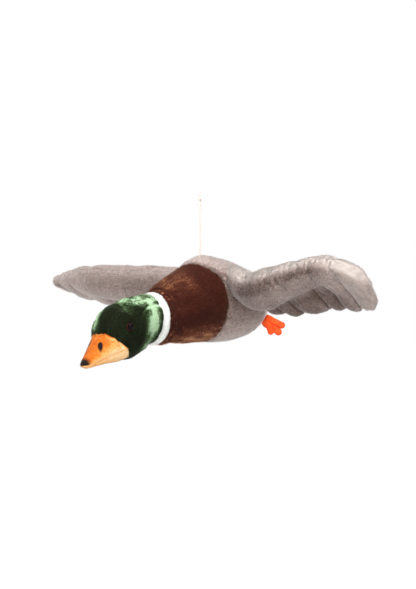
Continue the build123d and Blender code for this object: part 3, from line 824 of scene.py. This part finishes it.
def make_foot(side, sign):
    """A plump felt foot: a stem, a palm and three padded toes, melted into one closed skin."""
    across = FOOT_FACE.cross(FOOT_WAY)
    work = bmesh.new()

    def lump(a, b, radius, thick):
        """A capsule from a to b in the foot's plane, flattened to thick."""
        a, b = Vector((*a, 0)), Vector((*b, 0))
        for index in range(9):
            spot = a.lerp(b, index / 8)
            size = radius * (1 - 0.12 * index / 8)
            place = Matrix.Translation(spot) @ Matrix.Diagonal((size, size, thick, 1))
            bmesh.ops.create_icosphere(work, subdivisions=3, radius=1, matrix=place)

    for across_root in (-3.8, 0, 3.8):
        lump((-1, across_root), PALM, 3.4, 3.0)
    lump((8, 0.5), (15, 1), 9.8, FELT_HALF)
    # The webs between the toes, a little thinner.
    for a, b, radius in (((13, 2), (19.5, 3.4), 8.0), ((13, 0), (17, -5), 7.0), ((4, 3), (23, 7), 6.2)):
        lump(a, b, radius, 3.8)
    for toe, size in zip(TOES, (5.8, 6.0, 5.4), strict=True):
        lump(PALM, toe, size, FELT_HALF)
    mesh = bpy.data.meshes.new(f"{side}_foot_felt")
    work.to_mesh(mesh)
    work.free()
    foot = link(bpy.data.objects.new(f"{side}_foot_felt", mesh))
    remesh = foot.modifiers.new("melt", "REMESH")
    remesh.mode, remesh.voxel_size = "VOXEL", 0.55
    soften = foot.modifiers.new("soften", "SMOOTH")
    soften.factor, soften.iterations = 0.6, 3
    apply_modifiers(foot)
    co = mesh_arrays(foot.data)[0]
    toes, palm = np.array(TOES, float), np.array(PALM, float)
    for a, b in ((0, 1), (1, 2)):
        line = (toes[a] + toes[b]) / 2 - palm
        line /= np.linalg.norm(line)
        offset = co[:, :2] - palm
        distance = offset @ np.array([-line[1], line[0]])
        ahead = step(offset @ line, -4, 6)
        pinch = 1 - 0.55 * ahead * np.exp(-((distance / 1.5) ** 2))
        co[:, 2] *= pinch
    co[:, 2] += 0.25 * fractal(co, 7, 2, 9)
    spots = np.array(FOOT_ROOT) + MM * (
        co[:, 0:1] * np.array(FOOT_WAY) + co[:, 1:2] * np.array(across) + co[:, 2:3] * np.array(FOOT_FACE)
    )
    spots[:, 0] *= sign
    foot.data.vertices.foreach_set("co", spots.ravel())
    foot.data.update()
    if sign < 0:
        foot.data.flip_normals()
    foot.data.materials.clear()
    foot.data.materials.append(felt)
    foot.data.polygons.foreach_set("use_smooth", [True] * len(foot.data.polygons))
    return foot


def apply_modifiers(obj):
    """Bakes an object's modifiers into its mesh."""
    graph = bpy.context.evaluated_depsgraph_get()
    graph.update()
    baked = bpy.data.meshes.new_from_object(obj.evaluated_get(graph))
    obj.modifiers.clear()
    old = obj.data
    obj.data = baked
    bpy.data.meshes.remove(old)


# ---- eyes ----
EYE_POINT, EYE_AXIS = Vector((0.0324, -0.154, -0.186)), Vector((0.95, -0.28, 0.12)).normalized()


def lathe(name, profile, point, axis, materials):
    """A closed solid of revolution from (radius, height) points, with its axis at point."""
    turn = axis.to_track_quat("Z", "Y").to_matrix().to_4x4()
    place = Matrix.Translation(point) @ turn
    angle = np.linspace(0, TAU, 64, endpoint=False)
    rings = np.array([[(r * math.cos(a), r * math.sin(a), h) for a in angle] for r, h in profile])
    made = ring_mesh(name, rings, materials)
    made.data.transform(place)
    made.data.update()
    return made


def make_eye(side, sign):
    """A domed black safety eye in a narrow reddish-brown rim."""
    point = Vector((EYE_POINT.x * sign, EYE_POINT.y, EYE_POINT.z))
    axis = Vector((EYE_AXIS.x * sign, EYE_AXIS.y, EYE_AXIS.z))
    radius = 4.4 * MM
    dome = [(radius, -2.5 * MM), (radius, 0.2 * MM)]
    dome += [(radius * math.cos(a), (1.0 + 3.6 * math.sin(a)) * MM) for a in np.linspace(0, 1.5, 14)]
    eye = lathe(f"{side}_eye_dome", dome, point, axis, [eye_black])
    collar = [(4.35, -2), (5.1, -1.5), (5.25, 0.4), (5.0, 1.1), (4.7, 1.25), (4.38, 0.9), (4.35, 0.4)]
    collar = [(r * MM, h * MM) for r, h in collar]
    rim = lathe(f"{side}_eye_collar", collar, point, axis, [eye_brown])
    return eye, rim


# ---- cord ----
CORD_R, CORD_KNOT_Z, CORD_FOOT_Z = 0.6, -9.5, -96.7
CORD_ROUTE = [
    (0, 1.5, CORD_FOOT_Z),
    (0, 0.8, CORD_KNOT_Z),
    (0, 1.7, -4.4),
    (0, 1.4, -CORD_R),
    (0, -1.4, -CORD_R),
    (0, -1.7, -4.4),
    (0, -0.8, CORD_KNOT_Z),
    (0, -1.5, CORD_FOOT_Z),
]


def make_cord():
    """The elastic cord, folded in two, its strands drawn close where the knot makes its eye."""
    data = bpy.data.curves.new("hang_cord_elastic", "CURVE")
    data.dimensions = "3D"
    data.bevel_depth, data.bevel_resolution, data.resolution_u = CORD_R * MM, 6, 24
    data.use_fill_caps = True
    spline = data.splines.new("NURBS")
    spline.points.add(len(CORD_ROUTE) - 1)
    for spot, place in zip(spline.points, CORD_ROUTE, strict=True):
        spot.co = (*(c * MM for c in place), 1)
    spline.order_u, spline.use_endpoint_u = 3, True
    data.materials.append(cord_elastic)
    return link(bpy.data.objects.new("hang_cord_elastic", data))


def make_knot():
    """Three tight turns of the cord round itself, below the eye."""
    count, turns = 140, 3.1
    t = np.linspace(0, 1, count)
    radius = 1.55 + 0.12 * np.sin(math.pi * t)
    angle = TAU * turns * t
    centre = np.stack([radius * np.cos(angle), radius * np.sin(angle), CORD_KNOT_Z - 1.5 + 3.0 * t], axis=1)
    centre[0] *= (0.4, 0.4, 1)
    centre[-1] *= (0.4, 0.4, 1)
    way = np.gradient(centre, axis=0)
    way /= np.linalg.norm(way, axis=1, keepdims=True)
    side = np.cross(way, [0, 0, 1])
    side /= np.linalg.norm(side, axis=1, keepdims=True)
    other = np.cross(way, side)
    around = np.linspace(0, TAU, 20, endpoint=False)
    rings = centre[:, None] + CORD_R * (
        np.cos(around)[None, :, None] * side[:, None] + np.sin(around)[None, :, None] * other[:, None]
    )
    return ring_mesh("hang_cord_knot", rings * MM, [cord_elastic])


# ---- how pale each skin is: its own colour, with painted sheen, light and shade on the chest, head and wings ----
def chest_tone_and_sheen(p, n):
    """Dark in the middle, with painted sheen as paler streaks along the top near the band and along the
    underside, over soft patches of the cloth's own tone.
    """
    streaks = patches(p, 9, 31, (1, 3, 1))
    top = step(n[:, 2], 0.35, 0.85) * step(p[:, 1], -20, -60)
    low = step(-n[:, 2], 0.35, 0.9)
    tone = 0.21 + 0.10 * patches(p, 26, 32)
    return tone + top * (0.30 + 0.45 * streaks) + low * (0.42 + 0.45 * streaks)


def body_tone(p, n):
    """Pale along the back, the belly and the rear, greyer on the flanks."""
    top, low = step(n[:, 2], 0.2, 0.9), step(-n[:, 2], 0.25, 0.95)
    rear = step(p[:, 1], 82, 98)
    return 0.18 + 0.36 * top + 0.36 * low + 0.5 * rear + 0.10 * patches(p, 30, 33)


def even_tone(base, spread, cell, seed):
    """A tone that varies only in soft patches."""
    return lambda p, n: base + spread * patches(p, cell, seed)


pale_tone = even_tone(0.6, 0.15, 20, 34)
band_tone = even_tone(0.72, 0.12, 12, 35)
felt_tone = even_tone(0.55, 0.2, 6, 39)


def head_tone_and_sheen(p, n):
    """Nearly black green, with painted sheen highlights as pale swathes behind the cheeks, on the crown and
    on the right brow.
    """
    side = np.abs(p[:, 0])
    sweep = patches(p, 15, 36, (1, 1, 1.8))
    behind = hump(p[:, 1] - 0.12 * (p[:, 2] + 190), -116, 19) * step(side, 8, 24)
    crown = step(n[:, 2], 0.45, 0.9) * step(p[:, 1], -168, -135)
    # Painted sheen on the head's right side, where it faces forward and to the right.
    sheen_off_side = step(-0.68 * n[:, 0] - 0.73 * n[:, 1], 0.55, 0.9) * step(n[:, 2], -0.3, 0.2)
    tone = 0.07 + 0.09 * sweep + behind * (0.90 + 0.6 * sweep) + crown * (0.60 + 0.5 * sweep)
    return tone + sheen_off_side * (0.68 + 0.5 * sweep)


def bill_tone(p, n):
    """Deep orange on top, peach below and towards the cheeks."""
    side = np.abs(p[:, 0])
    pale = 0.24 + 0.50 * step(-n[:, 2], -0.45, 0.55) + 0.22 * step(side, 9, 24) * step(n[:, 2], 0.9, 0.1)
    root = step(p[:, 1], -176, -165) * step(n[:, 2], -0.2, 0.4)
    return pale + 0.12 * root + 0.10 * patches(p, 9, 37)


def bill_black(points, normals):
    """1 where the bill is airbrushed black: on top of its tip and at the two nostrils."""
    p, up = points / MM, step(normals[:, 2], -0.45, -0.1)
    tip = step(-p[:, 1] - 0.35 * p[:, 2], 279.5, 287)
    near = np.hypot((np.abs(p[:, 0]) - 12) / 1.4, p[:, 1] + 188)
    nostril = (1 - step(near, 2.2, 3.6)) * (normals[:, 2] > 0)
    return np.maximum(tip * up, nostril)


def wing_tone_light_and_shade(rings, chords, creases, fleck_and_light_weight):
    """Painted light, paler on top and on the hand; the fur's own brown fleck along the lower front of the
    arm; painted shade under the feathers and in the creases between them.
    """
    n = ring_normals(rings).reshape(-1, 3)
    p, back = rings.reshape(-1, 3), chords[..., 0].ravel()
    front = step(-n[:, 1], -0.1, 0.6)
    top = step(n[:, 2], 0.0, 0.7)
    belt = front * step(n[:, 2], -0.65, -0.15) * step(n[:, 2], 0.60, 0.10) * step(p[:, 0], 60, 100)
    under = step(-n[:, 2], -0.1, 0.4) * step(back, 18, 34) * step(p[:, 0], 266, 240)
    cloud = patches(p, 26, 38)
    hand = step(p[:, 0], 222, 262)
    # Painted light: the top is paler where the key light falls, much more on the near (left) wing than on
    # the far one.
    tone = 0.46 + (3.3 * fleck_and_light_weight - 0.31) * top
    # The hand is paler by painted light; the belt is the fur's own brown fleck along the lower front of the
    # arm.
    tone += fleck_and_light_weight * (0.9 * hand - belt * (1.3 + cloud) * (1 - hand))
    # Painted shade under the feather panel; cloud is the cloth's own patchy tone.
    tone += 0.12 * cloud - 0.28 * under
    # Painted shade in the creases between the feather lobes.
    crease = np.min([np.abs(p[:, 0] - c) for c in creases], axis=0)
    reach = (1 - hand) * step(back, 5, 30) + hand * step(back, -12, 6)
    return tone - 0.34 * np.exp(-((crease / 3.5) ** 2)) * reach


# ---- the materials of each piece ----
SHEEN = {
    "brown": (BROWN, 0.22, (0.95, 0.50, 0.30)),
    "taupe": (TAUPE, 0.5, (1.0, 0.96, 0.94)),
    "pale": (PALE, 0.3, (1.0, 0.97, 0.94)),
    "cream": (CREAM, 0.3, (1.0, 0.98, 0.95)),
    "white": (WHITE, 0.2, (1.0, 1.0, 1.0)),
    "green": (GREEN, 0.12, (0.70, 0.95, 0.66)),
    "orange": (ORANGE, 0.25, (1.0, 0.85, 0.6)),
}
cloth = {kind: plush_material(f"{kind}_plush", *values) for kind, values in SHEEN.items()}
fibre = {kind: fibres(kind, *values) for kind, values in SHEEN.items()}
fibre["orange"] += fibres("black", [BLACK], 0.2, (1, 1, 1))


def add_airbrush(material):
    """Paints the material's black attribute over its base colour."""
    shader = material.node_tree.nodes["Principled BSDF"]
    base = shader.inputs["Base Color"].links[0].from_socket
    black = node(material, "ShaderNodeAttribute", attribute_name="black")
    paint = node(material, "ShaderNodeRGB")
    paint.outputs[0].default_value = (*BLACK, 1)
    wire(material, mix(material, black.outputs["Fac"], base, paint.outputs[0]), shader.inputs["Base Color"])


add_airbrush(cloth["orange"])
felt = plush_material("foot_felt", FELT, 0.25, (1.0, 0.6, 0.45), 900.0)
eye_black = principled("eye_black", (0.001, 0.001, 0.0015), 0.05, Specular_IOR_Level=0.1)
eye_brown = principled("eye_brown", (0.05, 0.009, 0.005), 0.5, Specular_IOR_Level=0.1)
cord_elastic = principled("cord_elastic", (0.72, 0.58, 0.50), 0.7, Sheen_Weight=0.2)
bump(cord_elastic, noise_node(cord_elastic, 2600.0, 1.0, 0.5, (1, 1, 0.35)), 0.5, 0.0002)
steel = principled("annealed_steel", (0.42, 0.41, 0.40), 0.38, Metallic=1.0)
washer = principled("washer_plastic", (0.8, 0.8, 0.78), 0.45)


# ---- building and rigging ----
cord = make_cord()
knot = make_knot()
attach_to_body(cord, "torso")
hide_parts("hang_cord")
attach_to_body(knot, "torso")
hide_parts("cord_knot")


# The ways the pile lies.
BACKWARD, DOWNWARD = (0, 1, -0.15), (0, 0.3, -1)
CROWN_FLOW, TO_TIP = (0, 0.8, 0.5), (0, -0.85, -0.5)


def neck_blend(piece):
    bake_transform(piece)


def on(body):
    return lambda piece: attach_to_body(piece, body)


def sew(skin, attach, slot, fill, nodes, kind, tone, tufts):
    """Finishes a plush skin: its tone, its pile and what they ride on and stand for.

    tone is None where the skin already has its tone. tufts is (count, length, width, way, lean, seed).
    """
    if tone:
        set_tone(skin, tone)
    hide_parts(*nodes)
    tuft_pile = pile(f"{skin.name}_pile", skin, *tufts[:5], fibre[kind], tufts[5])
    for piece in (skin, tuft_pile):
        attach(piece)


torso, head = on("torso"), on("head")
SKINS = [  # maker, how it rides, slot, fill, the nodes it stands for, kind of plush, tone, tufts
    (make_chest, neck_blend, "chest_plush", 0.85,
     ["chest_cover_left", "chest_cover_right", "torso_stuffing"],
     "brown", chest_tone_and_sheen, (34000, 2.6, 0.55, BACKWARD, 1.3, 101)),
    (make_body, torso, "body_plush", 0.85, ["back_cover", "flank_cover_left", "flank_cover_right"],
     "taupe", body_tone, (44000, 2.8, 0.6, BACKWARD, 1.3, 102)),
    (make_vent, torso, "cream_plush", 0.85, ["vent_cover"],
     "cream", pale_tone, (9000, 2.8, 0.6, BACKWARD, 1.2, 103)),
    (make_tail, torso, "tail_plush", 0.7, ["tail_cover_upper", "tail_cover_lower", "tail_stuffing"],
     "pale", pale_tone, (14000, 2.8, 0.6, BACKWARD, 1.4, 104)),
    (make_band, on("neck"), "white_plush", 0.8, ["neck_band", "neck_stuffing"],
     "white", band_tone, (9000, 1.8, 0.5, DOWNWARD, 0.5, 105)),
    (make_head, head, "green_plush", 0.9,
     ["head_cover_left", "head_cover_right", "head_gusset", "head_stuffing"],
     "green", head_tone_and_sheen, (40000, 2.0, 0.5, CROWN_FLOW, 1.5, 106)),
    (make_bill, head, "bill_plush", 0.9, ["bill_cover_upper", "bill_cover_lower", "bill_stuffing"],
     "orange", bill_tone, (20000, 1.3, 0.45, TO_TIP, 1.0, 107)),
]
for make, *rest in SKINS:
    sew(make(), *rest)

for side, sign in (("left", 1), ("right", -1)):
    eye, rim = make_eye(side, sign)
    for piece, part, slot in ((eye, f"eye_{side}", "eye_black"), (rim, f"eye_rim_{side}", "eye_brown")):
        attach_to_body(piece, "head")
        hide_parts(part)


def wing_blend():
    return lambda piece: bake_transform(piece)


# The last number weighs each wing's own brown fleck and its painted light on the top and the hand; the left
# wing, nearer the key light, gets more.
for side, sign, stations, creases, fleck_and_light_weight in (
    ("left", 1, LEFT_WING, LEFT_CREASES, 0.24),
    ("right", -1, RIGHT_WING, RIGHT_CREASES, 0.10),
):
    inner, outer = make_wing(side, sign, stations, creases, fleck_and_light_weight)
    zones = (
        ("inner", inner, wing_blend(), 111),
        ("outer", outer, wing_blend(), 121),
    )
    for zone, skin, attach, seed in zones:
        stem = f"{side}_{zone}_wing"
        nodes = [f"{stem}_upper_cover", f"{stem}_lower_cover", f"{stem}_stuffing"]
        tufts = (46000, 3.0, 0.6, (sign, 0.5, -0.5), 1.2, seed + sign)
        sew(skin, attach, "wing_plush", 0.75, nodes, "taupe", None, tufts)
    foot = make_foot(side, sign)
    set_tone(foot, felt_tone)
    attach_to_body(foot, f"{side}_foot")
    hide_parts(f"{side}_foot_front_felt", f"{side}_foot_back_felt", f"{side}_foot_seam_roll")

for name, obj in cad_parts.items():
    for word, material in (("wire", steel), ("washer", washer), ("cord_stop_knot", cord_elastic)):
        if word in name:
            obj.data.materials.clear()
            obj.data.materials.append(material)


# ---- stage ----
def make_stage():
    """A pale round floor that glows white beyond the toy, so that it meets the white surround."""
    columns, floor_z = 96, -0.72
    radii = [0.3, 0.6, 0.9, 1.2, 2.0, 4.0, 9.0]
    angle = np.linspace(0, TAU, columns, endpoint=False)
    points = [(0, 0, floor_z)]
    for r in radii:
        points += [(r * math.cos(a), r * math.sin(a), floor_z) for a in angle]
    faces = [(0, 1 + i, 1 + (i + 1) % columns) for i in range(columns)]
    for row in range(len(radii) - 1):
        low, high = 1 + row * columns, 1 + (row + 1) * columns
        for i in range(columns):
            after = (i + 1) % columns
            faces.append((low + i, high + i, high + after, low + after))
    mesh = bpy.data.meshes.new("floor")
    mesh.from_pydata(points, [], faces)
    material = principled("floor_white", (0.6, 0.6, 0.6), 0.9)
    shader = material.node_tree.nodes["Principled BSDF"]
    coords = node(material, "ShaderNodeTexCoord")
    length = node(material, "ShaderNodeVectorMath", operation="LENGTH")
    wire(material, coords.outputs["Object"], length.inputs[0])
    glow = ramp(material, length.outputs["Value"], [(0.75, (0, 0, 0)), (1.0, (1, 1, 1))])
    wire(material, glow, shader.inputs["Emission Color"])
    shader.inputs["Emission Strength"].default_value = 1.0
    mesh.materials.append(material)
    link(bpy.data.objects.new("floor", mesh))


def make_light(name, place, size, power, colour=(1, 1, 1)):
    data = bpy.data.lights.new(name, "AREA")
    data.shape, data.size, data.energy, data.color = "DISK", size, power, colour
    light = link(bpy.data.objects.new(name, data))
    light.location = place
    light.rotation_euler = (Vector((0, 0, -0.15)) - Vector(place)).to_track_quat("-Z", "Y").to_euler()


def make_world():
    """A white surround along the horizon and a dimmer ceiling above it."""
    world = bpy.data.worlds.new("studio")
    world.use_nodes = True
    tree = world.node_tree
    coords = tree.nodes.new("ShaderNodeTexCoord")
    split = tree.nodes.new("ShaderNodeSeparateXYZ")
    shade = tree.nodes.new("ShaderNodeValToRGB")
    tree.links.new(coords.outputs["Generated"], split.inputs["Vector"])
    tree.links.new(split.outputs["Z"], shade.inputs["Fac"])
    tree.links.new(shade.outputs["Color"], tree.nodes["Background"].inputs["Color"])
    shade.color_ramp.elements[0].position = 0.24
    shade.color_ramp.elements[0].color = (1, 1, 1, 1)
    shade.color_ramp.elements[1].position = 0.40
    shade.color_ramp.elements[1].color = (0.3, 0.3, 0.31, 1)
    bpy.context.scene.world = world


make_stage()
make_world()
make_light("top", (0.80, -0.75, 1.65), 1.0, 62)
make_light("rear", (-0.75, 0.35, 1.30), 0.8, 5)
make_light("front", (0.35, -1.6, 1.0), 0.4, 4)
bpy.context.scene.view_settings.view_transform = "Standard"
